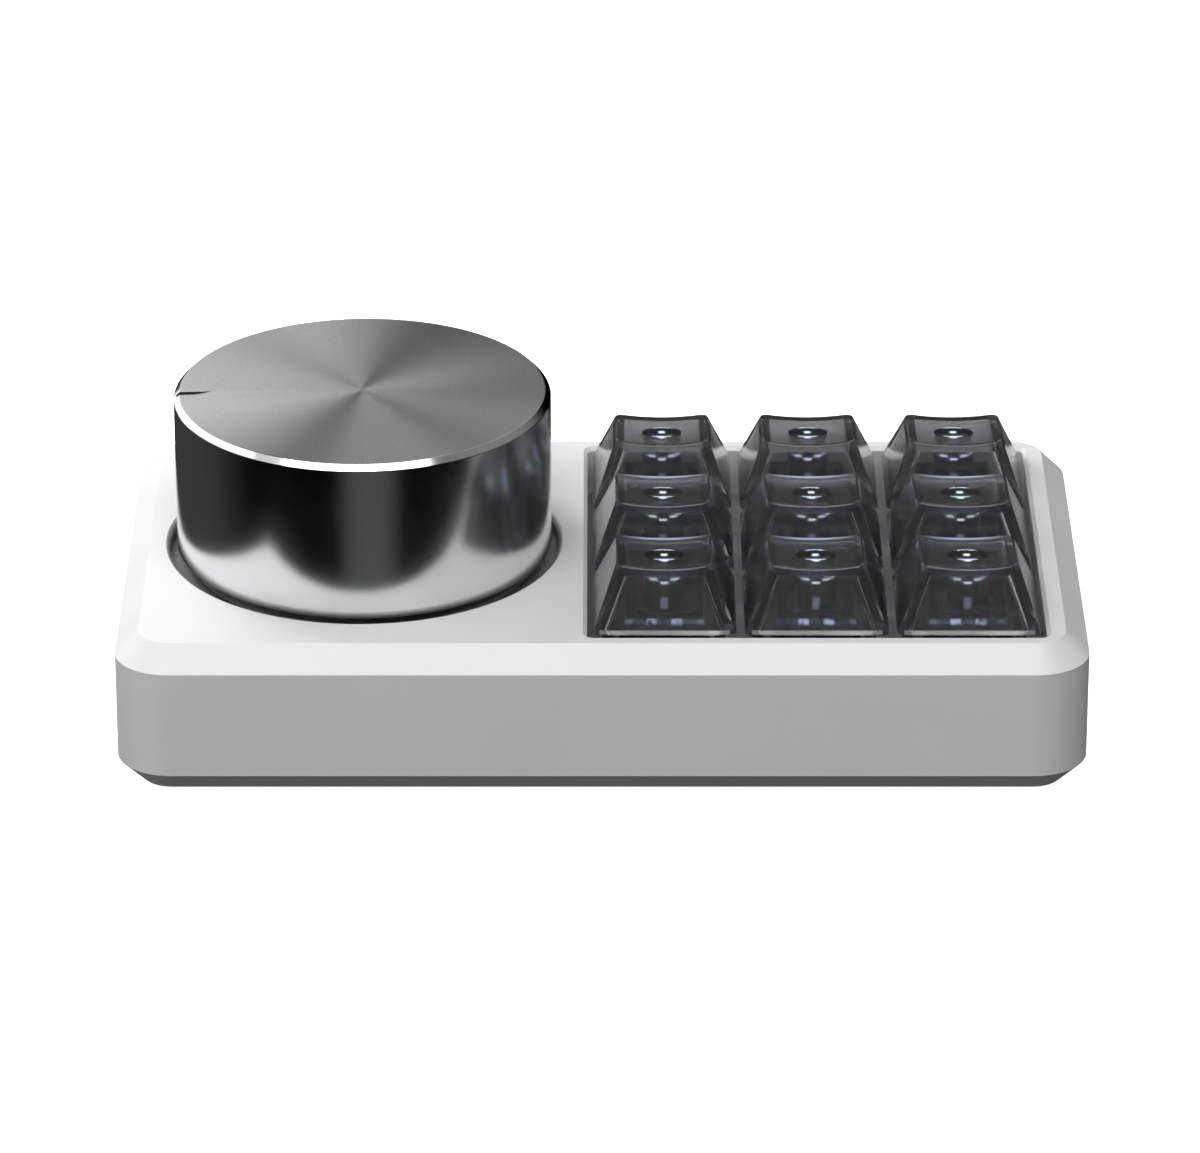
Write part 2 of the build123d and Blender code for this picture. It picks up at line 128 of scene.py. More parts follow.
mottle_group = make_mottle()
grain_group = make_grain()


def new_material(name):
    """A material with its node tree and its Principled shader."""
    material = bpy.data.materials.new(name)
    material.use_nodes = True
    return material, material.node_tree, material.node_tree.nodes["Principled BSDF"]


def mix_colours(tree, mask, dark, light):
    """A colour between two ends, chosen by a mask."""
    mix = add_node(tree, "ShaderNodeMix", data_type="RGBA")
    mix.inputs[mix_first_colour].default_value = dark
    mix.inputs[mix_second_colour].default_value = light
    tree.links.new(mask, mix.inputs["Factor"])
    return mix.outputs[mix_colour_result]


def mottled_surface(tree, shader, dark, light, patches, roughness):
    """Base colour and roughness that drift a little over the surface; gives the mask and the colour."""
    values = {"Scale": patches, "Low": roughness[0], "High": roughness[1]}
    mottle = add_node(tree, "ShaderNodeGroup", values, node_tree=mottle_group)
    colour = mix_colours(tree, mottle.outputs["Mask"], dark, light)
    tree.links.new(colour, shader.inputs["Base Color"])
    tree.links.new(mottle.outputs["Value"], shader.inputs["Roughness"])
    return mottle.outputs["Mask"], colour


def grained_surface(tree, shader, scale, depth):
    """Fine relief from the grain group."""
    grain = add_node(tree, "ShaderNodeGroup", {"Scale": scale}, node_tree=grain_group)
    bump = add_node(tree, "ShaderNodeBump", {"Strength": 1.0, "Distance": depth})
    tree.links.new(grain.outputs["Height"], bump.inputs["Height"])
    tree.links.new(bump.outputs["Normal"], shader.inputs["Normal"])


def solid_finish(name, dark, light, patches, roughness, grain_scale, grain_depth, metal=0.0):
    """A plain mottled and grained finish, for mouldings and metal parts."""
    material, tree, shader = new_material(name)
    mottled_surface(tree, shader, dark, light, patches, roughness)
    grained_surface(tree, shader, grain_scale, grain_depth)
    shader.inputs["Metallic"].default_value = metal
    return material


def dress(material, *names):
    """Give nodes of the frame one material."""
    for name in names:
        slots = nodes[name].data.materials
        slots.clear()
        slots.append(material)


def maths(tree, operation, *values):
    """Result of a Math node; each value is another node's output or a plain number."""
    node = add_node(tree, "ShaderNodeMath", operation=operation)
    for socket, value in zip(node.inputs, values):
        if isinstance(value, float):
            socket.default_value = value
        else:
            tree.links.new(value, socket)
    return node.outputs["Value"]


def product(tree, first, *others):
    """Several values multiplied."""
    result = first
    for other in others:
        result = maths(tree, "MULTIPLY", result, other)
    return result


def soft_step(tree, value, start, end):
    """A value as a soft step that is 0 at start and 1 at end."""
    limits = {"From Min": start, "From Max": end}
    step = add_node(tree, "ShaderNodeMapRange", limits, interpolation_type="SMOOTHSTEP")
    tree.links.new(value, step.inputs["Value"])
    return step.outputs["Result"]


def band(tree, value, middle, half, blur):
    """1 where a value lies within half of a middle, falling to 0 over the blur."""
    away = maths(tree, "ABSOLUTE", maths(tree, "SUBTRACT", value, middle))
    return soft_step(tree, away, half + blur, half)


def around_knob(tree):
    """Distance from the knob's upright axis, and height."""
    low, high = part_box("knob")
    place = object_place(tree)
    centre = add_node(tree, "ShaderNodeMapping", {"Location": -(low + high) / 2})
    split = add_node(tree, "ShaderNodeSeparateXYZ")
    height = add_node(tree, "ShaderNodeSeparateXYZ")
    flat = add_node(tree, "ShaderNodeCombineXYZ")
    reach = add_node(tree, "ShaderNodeVectorMath", operation="LENGTH")
    tree.links.new(place, height.inputs["Vector"])
    tree.links.new(place, centre.inputs["Vector"])
    tree.links.new(centre.outputs["Vector"], split.inputs["Vector"])
    tree.links.new(split.outputs["X"], flat.inputs["X"])
    tree.links.new(split.outputs["Y"], flat.inputs["Y"])
    tree.links.new(flat.outputs["Vector"], reach.inputs[0])
    return reach.outputs["Value"], height.outputs["Z"]


def white_coat():
    """Satin white powder coat, with painted shade in the knob's well: grey on its wall, darker on its floor.
    """
    material, tree, shader = new_material("white_coat")
    _, white = mottled_surface(tree, shader, coat_dark, coat_light, coat_patches, coat_roughness)
    grained_surface(tree, shader, coat_peel_scale, coat_peel_depth)
    reach, height = around_knob(tree)
    case_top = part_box("top_case")[1].z
    floor_top = case_top - well_depth
    ring = band(tree, reach, well_radius - well_ring / 2, well_ring / 2, well_edge_blur)
    deep = soft_step(tree, height, floor_top + well_edge, floor_top + well_edge_blur)
    sunk_middle = (floor_top - well_floor + case_top - well_edge) / 2
    sunk_half = (well_floor + well_depth - well_edge) / 2
    sunk = band(tree, height, sunk_middle, sunk_half, well_edge_blur)
    # Painted shade: the well's wall is coloured grey and its floor darker grey, where the real gap is only
    # in shadow.
    grey = mix_colours(tree, deep, well_wall_painted_shade, well_floor_painted_shade)
    colour = add_node(tree, "ShaderNodeMix", data_type="RGBA")
    tree.links.new(white, colour.inputs[mix_first_colour])
    tree.links.new(grey, colour.inputs[mix_second_colour])
    tree.links.new(product(tree, ring, sunk), colour.inputs["Factor"])
    tree.links.new(colour.outputs[mix_colour_result], shader.inputs["Base Color"])
    shader.inputs["Specular IOR Level"].default_value = coat_gloss
    return material


dress(white_coat(), "top_case", "base_plate")

# Rubber feet: four moulded black rubber discs, glued into shallow round recesses in the bottom plate.
# Each has a rounded rim and a slightly hollow sole, so it grips on its ring.
scene = bpy.context.scene
foot_radius = 5.0 * mm
foot_rim = 0.35 * mm
foot_rim_steps = 4
foot_hollow = 0.12 * mm
foot_sole_ring = 1.1 * mm
foot_steps = 64
rubber_dark = (0.012, 0.012, 0.013, 1.0)
rubber_light = (0.022, 0.022, 0.023, 1.0)
seam_distance = 0.0005 * mm
shared_point_distance = 0.001 * mm
sharp_edge_angle = 30.0


def turn_profile(bm, profile, steps):
    """Spin an outline of (radius, height) points round the upright axis into a closed body."""
    verts = [bm.verts.new((radius, 0, height)) for radius, height in profile]
    edges = [bm.edges.new(pair) for pair in zip(verts, verts[1:])]
    bmesh.ops.spin(
        bm, geom=verts + edges, cent=(0, 0, 0), axis=(0, 0, 1),
        angle=2 * math.pi, steps=steps, use_merge=True,
    )
    bmesh.ops.remove_doubles(bm, verts=bm.verts[:], dist=seam_distance)
    bmesh.ops.recalc_face_normals(bm, faces=bm.faces[:])


def verts_in(geometry):
    """The vertices among the parts of a mesh that an operator gives back."""
    return [item for item in geometry if isinstance(item, bmesh.types.BMVert)]


def repeat_at(bm, places):
    """Copies of everything in a bmesh, one at each place."""
    source = bm.verts[:] + bm.edges[:] + bm.faces[:]
    for place in places[1:]:
        made = bmesh.ops.duplicate(bm, geom=source)["geom"]
        bmesh.ops.translate(bm, verts=verts_in(made), vec=place)
    bmesh.ops.translate(bm, verts=verts_in(source), vec=places[0])


def finish_piece(name, bm, material, body):
    """A bmesh as a finished object that rides on a body, smooth except at its sharp edges."""
    mesh = bpy.data.meshes.new(name)
    bm.to_mesh(mesh)
    bm.free()
    mesh.shade_smooth()
    mesh.set_sharp_from_angle(angle=math.radians(sharp_edge_angle))
    mesh.materials.append(material)
    piece = bpy.data.objects.new(name, mesh)
    scene.collection.objects.link(piece)
    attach(piece, body)
    return piece


def solids_of(name):
    """Lowest and highest corner of each separate solid in a node, from left to right."""
    bm = bmesh.new()
    bm.from_mesh(nodes[name].data)
    bmesh.ops.remove_doubles(bm, verts=bm.verts[:], dist=shared_point_distance)
    left = set(bm.verts)
    boxes = []
    while left:
        island = [left.pop()]
        for vert in island:
            for edge in vert.link_edges:
                other = edge.other_vert(vert)
                if other in left:
                    left.remove(other)
                    island.append(other)
        low = [min(vert.co[axis] for vert in island) for axis in range(3)]
        high = [max(vert.co[axis] for vert in island) for axis in range(3)]
        boxes.append((low, high))
    bm.free()
    return [(Vector(low), Vector(high)) for low, high in sorted(boxes)]


def bottom_middles(boxes):
    """Middle of the lowest face of each box."""
    return [((low.x + high.x) / 2, (low.y + high.y) / 2, low.z) for low, high in boxes]


def rubber_feet():
    """Four discs with a rounded rim and a hollow sole."""
    low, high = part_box("rubber_feet")
    ring = foot_radius - foot_rim - foot_sole_ring
    profile = [(0, foot_hollow), (ring - foot_hollow, foot_hollow), (ring, 0), (foot_radius - foot_rim, 0)]
    for step in range(1, foot_rim_steps + 1):
        turn = math.radians(90) * step / foot_rim_steps
        radius = foot_radius - foot_rim + foot_rim * math.sin(turn)
        profile.append((radius, foot_rim - foot_rim * math.cos(turn)))
    profile += [(foot_radius, high.z - low.z), (0, high.z - low.z)]
    bm = bmesh.new()
    turn_profile(bm, profile, foot_steps)
    repeat_at(bm, bottom_middles(solids_of("rubber_feet")))
    rubber = solid_finish(
        "black_rubber", rubber_dark, rubber_light, patches=400.0, roughness=(0.7, 0.85),
        grain_scale=3000.0, grain_depth=0.02 * mm,
    )
    feet = finish_piece("feet", bm, rubber, "case")
    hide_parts("rubber_feet")


rubber_feet()

# Bottom screws: countersunk steel machine screws with a hexagon socket, flush with the bottom plate.
# Four hold the shell, six hold the spacers. Each is a turned head and a rolled thread.
shank_radius = 1.0 * mm
thread_pitch = 0.4 * mm
thread_depth = 0.12 * mm
screw_steps = 24
hex_sides = 6
hex_flats = 1.3 * mm
hex_depth = 0.75 * mm
head_cone = 0.9 * mm
steel_dark = (0.42, 0.42, 0.43, 1.0)
steel_light = (0.55, 0.55, 0.56, 1.0)
screw_steel = solid_finish(
    "screw_steel", steel_dark, steel_light, patches=500.0, roughness=(0.25, 0.38),
    grain_scale=2500.0, grain_depth=0.004 * mm, metal=1.0,
)


def bottom_screws(name, node):
    """Every screw of one node, each with its socket and thread."""
    boxes = solids_of(node)
    low, high = boxes[0]
    length = high.z - low.z
    head_radius = (high.x - low.x) / 2
    profile = [(head_radius, 0), (shank_radius, head_cone)]
    turns = int((length - head_cone) / thread_pitch) - 1
    for turn in range(turns):
        start = head_cone + thread_pitch * (turn + 0.5)
        profile += [(shank_radius - thread_depth, start), (shank_radius, start + thread_pitch / 2)]
    profile += [(shank_radius - thread_depth, length), (0, length)]
    bm = bmesh.new()
    turn_profile(bm, profile, screw_steps)
    rim = [edge for edge in bm.edges if edge.is_boundary]
    hex_radius = hex_flats / math.sqrt(3)
    socket = bmesh.ops.create_circle(bm, cap_ends=False, segments=hex_sides, radius=hex_radius)
    socket_edges = list({edge for vert in socket["verts"] for edge in vert.link_edges})
    bmesh.ops.bridge_loops(bm, edges=rim + socket_edges)
    walls = bmesh.ops.extrude_edge_only(bm, edges=socket_edges)["geom"]
    end_verts = verts_in(walls)
    end_edges = [item for item in walls if isinstance(item, bmesh.types.BMEdge)]
    bmesh.ops.translate(bm, verts=end_verts, vec=(0, 0, hex_depth))
    floor_edges = [edge for edge in end_edges if all(vert in end_verts for vert in edge.verts)]
    bmesh.ops.edgeloop_fill(bm, edges=floor_edges)
    bmesh.ops.recalc_face_normals(bm, faces=bm.faces[:])
    repeat_at(bm, bottom_middles(boxes))
    screws = finish_piece(name, bm, screw_steel, "case")
    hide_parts(node)


bottom_screws("case_fixing_screws", "case_screws")
bottom_screws("spacer_fixing_screws", "spacer_screws")

# Inner fasteners: hexagonal brass spacers between bottom plate and board, and small steel screws
# that hold the board to the spacers and the switch plate to the shell.
brass_dark = (0.60, 0.42, 0.16, 1.0)
brass_light = (0.74, 0.54, 0.24, 1.0)
turned_brass = solid_finish(
    "turned_brass", brass_dark, brass_light, patches=300.0, roughness=(0.22, 0.34),
    grain_scale=2200.0, grain_depth=0.004 * mm, metal=1.0,
)
dress(turned_brass, "spacers")
dress(screw_steel, "board_screws", "plate_screws")

# Circuit board: glass fibre board under a black solder mask, screwed to the spacers.
# Copper tracks raise the mask a little, so it shows a faint straight relief.
mask_dark = (0.006, 0.012, 0.010, 1.0)
mask_light = (0.012, 0.022, 0.018, 1.0)
mask_patches = 120.0
mask_roughness = (0.28, 0.40)
track_size = 420.0
track_height = 0.03 * mm


def solder_mask():
    """Dark mask over copper tracks."""
    material, tree, shader = new_material("solder_mask")
    mottled_surface(tree, shader, mask_dark, mask_light, mask_patches, mask_roughness)
    tracks = add_node(
        tree, "ShaderNodeTexVoronoi", {"Scale": track_size, "Randomness": 0.6},
        feature="F1", distance="CHEBYCHEV",
    )
    edge = add_node(tree, "ShaderNodeMapRange", {"From Min": 0.35, "From Max": 0.42})
    bump = add_node(tree, "ShaderNodeBump", {"Distance": track_height})
    tree.links.new(object_place(tree), tracks.inputs["Vector"])
    tree.links.new(tracks.outputs["Distance"], edge.inputs["Value"])
    tree.links.new(edge.outputs["Result"], bump.inputs["Height"])
    tree.links.new(bump.outputs["Normal"], shader.inputs["Normal"])
    return material


dress(solder_mask(), "circuit_board")

# Parts on the board: black moulded chips, diodes and hot-swap sockets, and a steel crystal can.
# All are soldered to the underside.
chip_dark = (0.010, 0.010, 0.011, 1.0)
chip_light = (0.020, 0.020, 0.021, 1.0)
moulded_black = solid_finish(
    "moulded_black", chip_dark, chip_light, patches=260.0, roughness=(0.42, 0.58),
    grain_scale=2600.0, grain_depth=0.01 * mm,
)
dress(moulded_black, "controller_chip", "voltage_regulator", "switch_diodes", "hot_swap_sockets")
dress(screw_steel, "clock_crystal")

# Cable socket: a drawn steel shell on the board, behind a slot in the rear of the case.
# Inside is a black contact tongue with twelve gold-plated strips on each face.
contact_count = 12
contact_pitch = 0.5 * mm
contact_width = 0.26 * mm
contact_length = 3.6 * mm
contact_proud = 0.02 * mm
contact_round = contact_width * 0.4
contact_setback = 2 * contact_width
gold_dark = (0.80, 0.56, 0.20, 1.0)
gold_light = (0.92, 0.70, 0.32, 1.0)
usb_steel = solid_finish(
    "usb_steel", steel_dark, steel_light, patches=350.0, roughness=(0.22, 0.32),
    grain_scale=2400.0, grain_depth=0.003 * mm, metal=1.0,
)


def round_edges(bm, edges, radius, segments):
    """Round some edges of a mesh."""
    bmesh.ops.bevel(
        bm, geom=edges, offset=radius, offset_type="OFFSET", affect="EDGES",
        segments=segments, profile=0.5, material=-1,
    )


def upright_edges(bm, least):
    """The edges that rise by more than a least height."""
    return [edge for edge in bm.edges if abs(edge.verts[0].co.z - edge.verts[1].co.z) > least]


def usb_contacts():
    """Contact strips on both faces of the tongue, with rounded front ends."""
    low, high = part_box("usb_tongue")
    middle = (low.x + high.x) / 2
    end = high.y - contact_setback
    size = Matrix.Diagonal((contact_width, contact_length, 2 * contact_proud, 1.0))
    bm = bmesh.new()
    for face in (low.z, high.z):
        for number in range(contact_count):
            across = middle + (number - (contact_count - 1) / 2) * contact_pitch
            place = Matrix.Translation((across, end - contact_length / 2, face))
            bmesh.ops.create_cube(bm, size=1.0, matrix=place @ size)
    round_edges(bm, upright_edges(bm, contact_proud), contact_round, segments=3)
    gold = solid_finish(
        "contact_gold", gold_dark, gold_light, patches=600.0, roughness=(0.18, 0.28),
        grain_scale=3000.0, grain_depth=0.002 * mm, metal=1.0,
    )
    finish_piece("usb_contacts", bm, gold, "case")


dress(usb_steel, "usb_socket")
dress(moulded_black, "usb_tongue")
usb_contacts()

# Switch plate: grey anodised aluminium, screwed up against the inside of the shell.
# It shows between the keycaps. A foam pad stuck on the cable socket fills the plate's cut above it.
plate_dark = (0.36, 0.36, 0.365, 1.0)
plate_light = (0.44, 0.44, 0.445, 1.0)
seal_side = 0.15 * mm
seal_front = 0.2 * mm
seal_below = 0.1 * mm
seal_corner = 0.6 * mm
seal_edge = 0.12 * mm
foam_dark = (0.30, 0.30, 0.305, 1.0)
foam_light = (0.40, 0.40, 0.405, 1.0)
anodised = solid_finish(
    "grey_anodised", plate_dark, plate_light, patches=180.0, roughness=(0.36, 0.48),
    grain_scale=3200.0, grain_depth=0.006 * mm, metal=0.3,
)


def socket_seal():
    """A die-cut foam pad with rounded corners and a soft upper edge."""
    socket_low, socket_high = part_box("usb_socket")
    plate_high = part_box("switch_plate")[1]
    low = Vector((socket_low.x - seal_side, socket_low.y - seal_front, socket_high.z))
    high = Vector((socket_high.x + seal_side, plate_high.y, plate_high.z - seal_below))
    bm = bmesh.new()
    size = Matrix.Diagonal((*(high - low), 1.0))
    bmesh.ops.create_cube(bm, size=1.0, matrix=Matrix.Translation((low + high) / 2) @ size)
    round_edges(bm, upright_edges(bm, seal_edge), seal_corner, segments=6)
    rim = [edge for edge in bm.edges if all(vert.co.z > high.z - seal_edge for vert in edge.verts)]
    round_edges(bm, rim, seal_edge, segments=3)
    foam = solid_finish(
        "grey_foam", foam_dark, foam_light, patches=900.0, roughness=(0.8, 0.95),
        grain_scale=2600.0, grain_depth=0.05 * mm,
    )
    finish_piece("socket_seal", bm, foam, "case")


dress(anodised, "switch_plate")
socket_seal()

# Key switches: a black lower housing clipped into the plate, a smoky clear upper housing, two brass pins,
# and a slider whose cross carries the keycap. A steel coil spring in each housing lifts the slider.
# A painted glow, emission on parts that are no lamp, stands for the key light on the front edge of the clear
# housing and on the arms of the cross.
key_count = 9
key_numbers = range(1, key_count + 1)
housing_dark = (0.014, 0.014, 0.016, 1.0)
housing_light = (0.024, 0.024, 0.027, 1.0)
unlit = (0.0, 0.0, 0.0, 1.0)
glow_blur = 0.2 * mm
stem_dark = (0.035, 0.036, 0.040, 1.0)
stem_light = (0.060, 0.062, 0.070, 1.0)
stem_patches = 500.0
stem_roughness = (0.25, 0.35)
stem_painted_glint = 5.0
stem_painted_glint_colour = (0.70, 0.76, 1.0, 1.0)
stem_painted_glint_depth = 0.15 * mm
cross_half = 0.3 * mm
back_arm_middle = 1.6 * mm
back_arm_half = 0.35 * mm
side_arm_reach = 1.1 * mm
side_arm_middle = -0.4 * mm
side_arm_half = 0.2 * mm
side_arm_share = 0.8
front_arm_middle = -1.2 * mm
front_arm_half = 0.9 * mm
front_arm_share = 0.9
bar_face = (-1.85 * mm, -1.95 * mm)
bar_drop = 2.75 * mm
bar_half = 0.75 * mm
bar_blur = 0.1 * mm
bar_share = 0.12
clear_dark = (0.10, 0.10, 0.11, 1.0)
clear_light = (0.15, 0.15, 0.165, 1.0)
clear_patches = 300.0
clear_roughness = (0.10, 0.18)
clear_bending = 1.5
window_painted_glow = 4.4
window_painted_glow_colour = (0.66, 0.72, 1.0, 1.0)
window_face = (-4.6 * mm, -5.6 * mm)
window_drop = (0.9 * mm, 0.2 * mm)
window_spots = [(1.6 * mm, 0.45 * mm, 1.0), (4.5 * mm, 0.35 * mm, 0.28), (2.6 * mm, 2.6 * mm, 0.13)]
window_specks = 900.0
window_speck_range = (0.30, 0.60)
spring_wire = 0.17 * mm
spring_turns = 9
spring_steps_per_turn = 28
wire_sides = 8


def key_place(tree):
    """Place on a key switch: across, along and up, counted from the middle of its own stem."""
    first, first_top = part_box("switch_stem_1")
    second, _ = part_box("switch_stem_2")
    pitch = second.x - first.x
    middle = (first + first_top) / 2
    split = add_node(tree, "ShaderNodeSeparateXYZ")
    tree.links.new(object_place(tree), split.inputs["Vector"])
    wrapped = []
    for axis, start in (("X", middle.x), ("Y", middle.y)):
        wrap = maths(tree, "WRAP", split.outputs[axis], start + pitch / 2, start - pitch / 2)
        wrapped.append(maths(tree, "SUBTRACT", wrap, start))
    return wrapped[0], wrapped[1], split.outputs["Z"]


def brightest(tree, first, *others):
    """The greatest of several values."""
    result = first
    for other in others:
        result = maths(tree, "MAXIMUM", result, other)
    return result


def clear_housing():
    """Smoky moulded housing with a painted glow on its front edge that stands for the key light."""
    material, tree, shader = new_material("clear_housing")
    mottled_surface(tree, shader, clear_dark, clear_light, clear_patches, clear_roughness)
    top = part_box("switch_tops")[1].z
    across, along, up = key_place(tree)
    speck = add_node(tree, "ShaderNodeTexNoise", {"Scale": window_specks, "Detail": 2.0})
    tree.links.new(object_place(tree), speck.inputs["Vector"])
    aside = maths(tree, "ABSOLUTE", across)
    spots = []
    for middle, half, share in window_spots:
        spots.append(product(tree, band(tree, aside, middle, half, 2 * glow_blur), share))
    lit = product(
        tree, soft_step(tree, along, *window_face),
        soft_step(tree, up, top - window_drop[0], top - window_drop[1]),
        brightest(tree, *spots), soft_step(tree, speck.outputs["Fac"], *window_speck_range),
    )
    # Painted light: emission in spots and specks along the housing's front edge, standing for the key light
    # shining there.
    tree.links.new(mix_colours(tree, lit, unlit, window_painted_glow_colour), shader.inputs["Emission Color"])
    shader.inputs["Emission Strength"].default_value = window_painted_glow
    shader.inputs["Transmission Weight"].default_value = 1.0
    shader.inputs["IOR"].default_value = clear_bending
    return material


def stem_with_painted_glints():
    """Smoky plastic with painted glints: the top of its cross and a bar on its front glow, standing for
    reflections of the key light.
    """
    material, tree, shader = new_material("stem_with_painted_glints")
    mottled_surface(tree, shader, stem_dark, stem_light, stem_patches, stem_roughness)
    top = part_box("switch_stem_1")[1].z
    across, along, up = key_place(tree)
    slim = band(tree, across, 0.0, cross_half, glow_blur)
    wide = band(tree, across, 0.0, side_arm_reach, 2 * glow_blur)
    back_arm = product(tree, slim, band(tree, along, back_arm_middle, back_arm_half, glow_blur))
    side_arms = product(tree, wide, band(tree, along, side_arm_middle, side_arm_half, glow_blur))
    front_arm = product(tree, slim, band(tree, along, front_arm_middle, front_arm_half, glow_blur))
    cross = brightest(
        tree, back_arm, product(tree, side_arms, side_arm_share), product(tree, front_arm, front_arm_share)
    )
    cross = product(tree, cross, soft_step(tree, up, top - stem_painted_glint_depth, top))
    bar = product(
        tree, slim, soft_step(tree, along, *bar_face),
        band(tree, up, top - bar_drop, bar_half, bar_blur), bar_share,
    )
    lit = brightest(tree, cross, bar)
    # Painted glints: emission on the top of the cross and on a bar on its front, standing for reflections of
    # the key light.
    tree.links.new(mix_colours(tree, lit, unlit, stem_painted_glint_colour), shader.inputs["Emission Color"])
    shader.inputs["Emission Strength"].default_value = stem_painted_glint
    return material


def key_spring(number):
    """One coil spring, given a mesh of its own."""
    node = f"switch_spring_{number}"
    low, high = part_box(node)
    length = high.z - low.z
    centre_x = (low.x + high.x) / 2
    centre_y = (low.y + high.y) / 2
    coil_radius = (high.x - low.x) / 2 - spring_wire
    steps = spring_turns * spring_steps_per_turn
    bm = bmesh.new()
    turn = Matrix.Translation((coil_radius, 0, spring_wire)) @ Matrix.Rotation(math.radians(90), 4, "X")
    bmesh.ops.create_circle(bm, cap_ends=False, segments=wire_sides, radius=spring_wire, matrix=turn)
    bmesh.ops.spin(
        bm, geom=bm.verts[:] + bm.edges[:], cent=(0, 0, 0), axis=(0, 0, 1),
        dvec=(0, 0, (length - 2 * spring_wire) / steps), angle=2 * math.pi * spring_turns, steps=steps,
    )
    bmesh.ops.holes_fill(bm, edges=[edge for edge in bm.edges if edge.is_boundary], sides=wire_sides)
    bmesh.ops.recalc_face_normals(bm, faces=bm.faces[:])
    bmesh.ops.translate(bm, verts=bm.verts[:], vec=(centre_x, centre_y, low.z))
    spring = finish_piece(f"key_spring_{number}", bm, spring_steel, "case")
    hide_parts(node)
    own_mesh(spring)


housing_black = solid_finish(
    "housing_black", housing_dark, housing_light, patches=220.0, roughness=(0.30, 0.42),
    grain_scale=2400.0, grain_depth=0.008 * mm,
)
spring_steel = solid_finish(
    "spring_steel", steel_dark, steel_light, patches=700.0, roughness=(0.20, 0.30),
    grain_scale=3000.0, grain_depth=0.002 * mm, metal=1.0,
)
dress(housing_black, "switch_bases")
dress(clear_housing(), "switch_tops")
dress(turned_brass, "switch_pins")
dress(stem_with_painted_glints(), *[f"switch_stem_{number}" for number in key_numbers])
for number in key_numbers:
    key_spring(number)

# Key lights: one small white light-emitting package on the board in front of each stem.
# They shine cool white through the clear housing into the keycap.
package_dark = (0.75, 0.76, 0.80, 1.0)
package_light = (0.85, 0.86, 0.9, 1.0)
package_patches = 900.0
package_roughness = (0.3, 0.4)
package_glow = 6.0
package_glow_edge = (0.42, 0.48, 1.0, 1.0)
package_glow_core = (0.70, 0.76, 1.0, 1.0)


def lit_package():
    """White package that glows a cool white."""
    material, tree, shader = new_material("lit_package")
    mask, _ = mottled_surface(
        tree, shader, package_dark, package_light, package_patches, package_roughness
    )
    glow = mix_colours(tree, mask, package_glow_edge, package_glow_core)
    tree.links.new(glow, shader.inputs["Emission Color"])
    shader.inputs["Emission Strength"].default_value = package_glow
    return material


dress(lit_package(), "key_lights")

# Keycaps: nine hollow caps of smoked clear plastic with a polished skin, pushed onto the stems' crosses.
# The tint is in the plastic itself, so thick walls and double walls look darker.
# The back edge of the front two rows has a painted highlight that stands for the light of the keys behind,
# and each front lip has a painted highlight.
smoke_colour = (0.42, 0.42, 0.425, 1.0)
smoke_density = 150.0
cap_dark = (0.56, 0.56, 0.57, 1.0)
cap_light = (0.60, 0.60, 0.61, 1.0)
cap_patches = 350.0
cap_clear = 0.96
cap_bending = 1.49
cap_skin_roughness = (0.12, 0.18)
cap_haze_scale = 1800.0
cap_haze_depth = 0.0015 * mm
cap_edge_painted_glow = 0.6
back_edge = 6.9 * mm
back_edge_height = 6.0 * mm
back_edge_rise = 0.6 * mm
back_edge_inset = (1.3 * mm, 0.2 * mm)
back_edge_half = 1.0 * mm
back_edge_blur = 5.2 * mm
back_edge_painted_highlight = (0.62, 0.63, 1.0, 1.0)
lit_rows_blur = 0.6 * mm
front_rim = 9.0 * mm
lip_inset = (0.4 * mm, 0.3 * mm)
lip_height = 0.38 * mm
lip_half = 0.22 * mm
lip_blur = 0.06 * mm
lip_end = 0.9 * mm
lip_end_blur = 0.1 * mm
lip_painted_highlight = (0.205, 0.205, 0.215, 1.0)


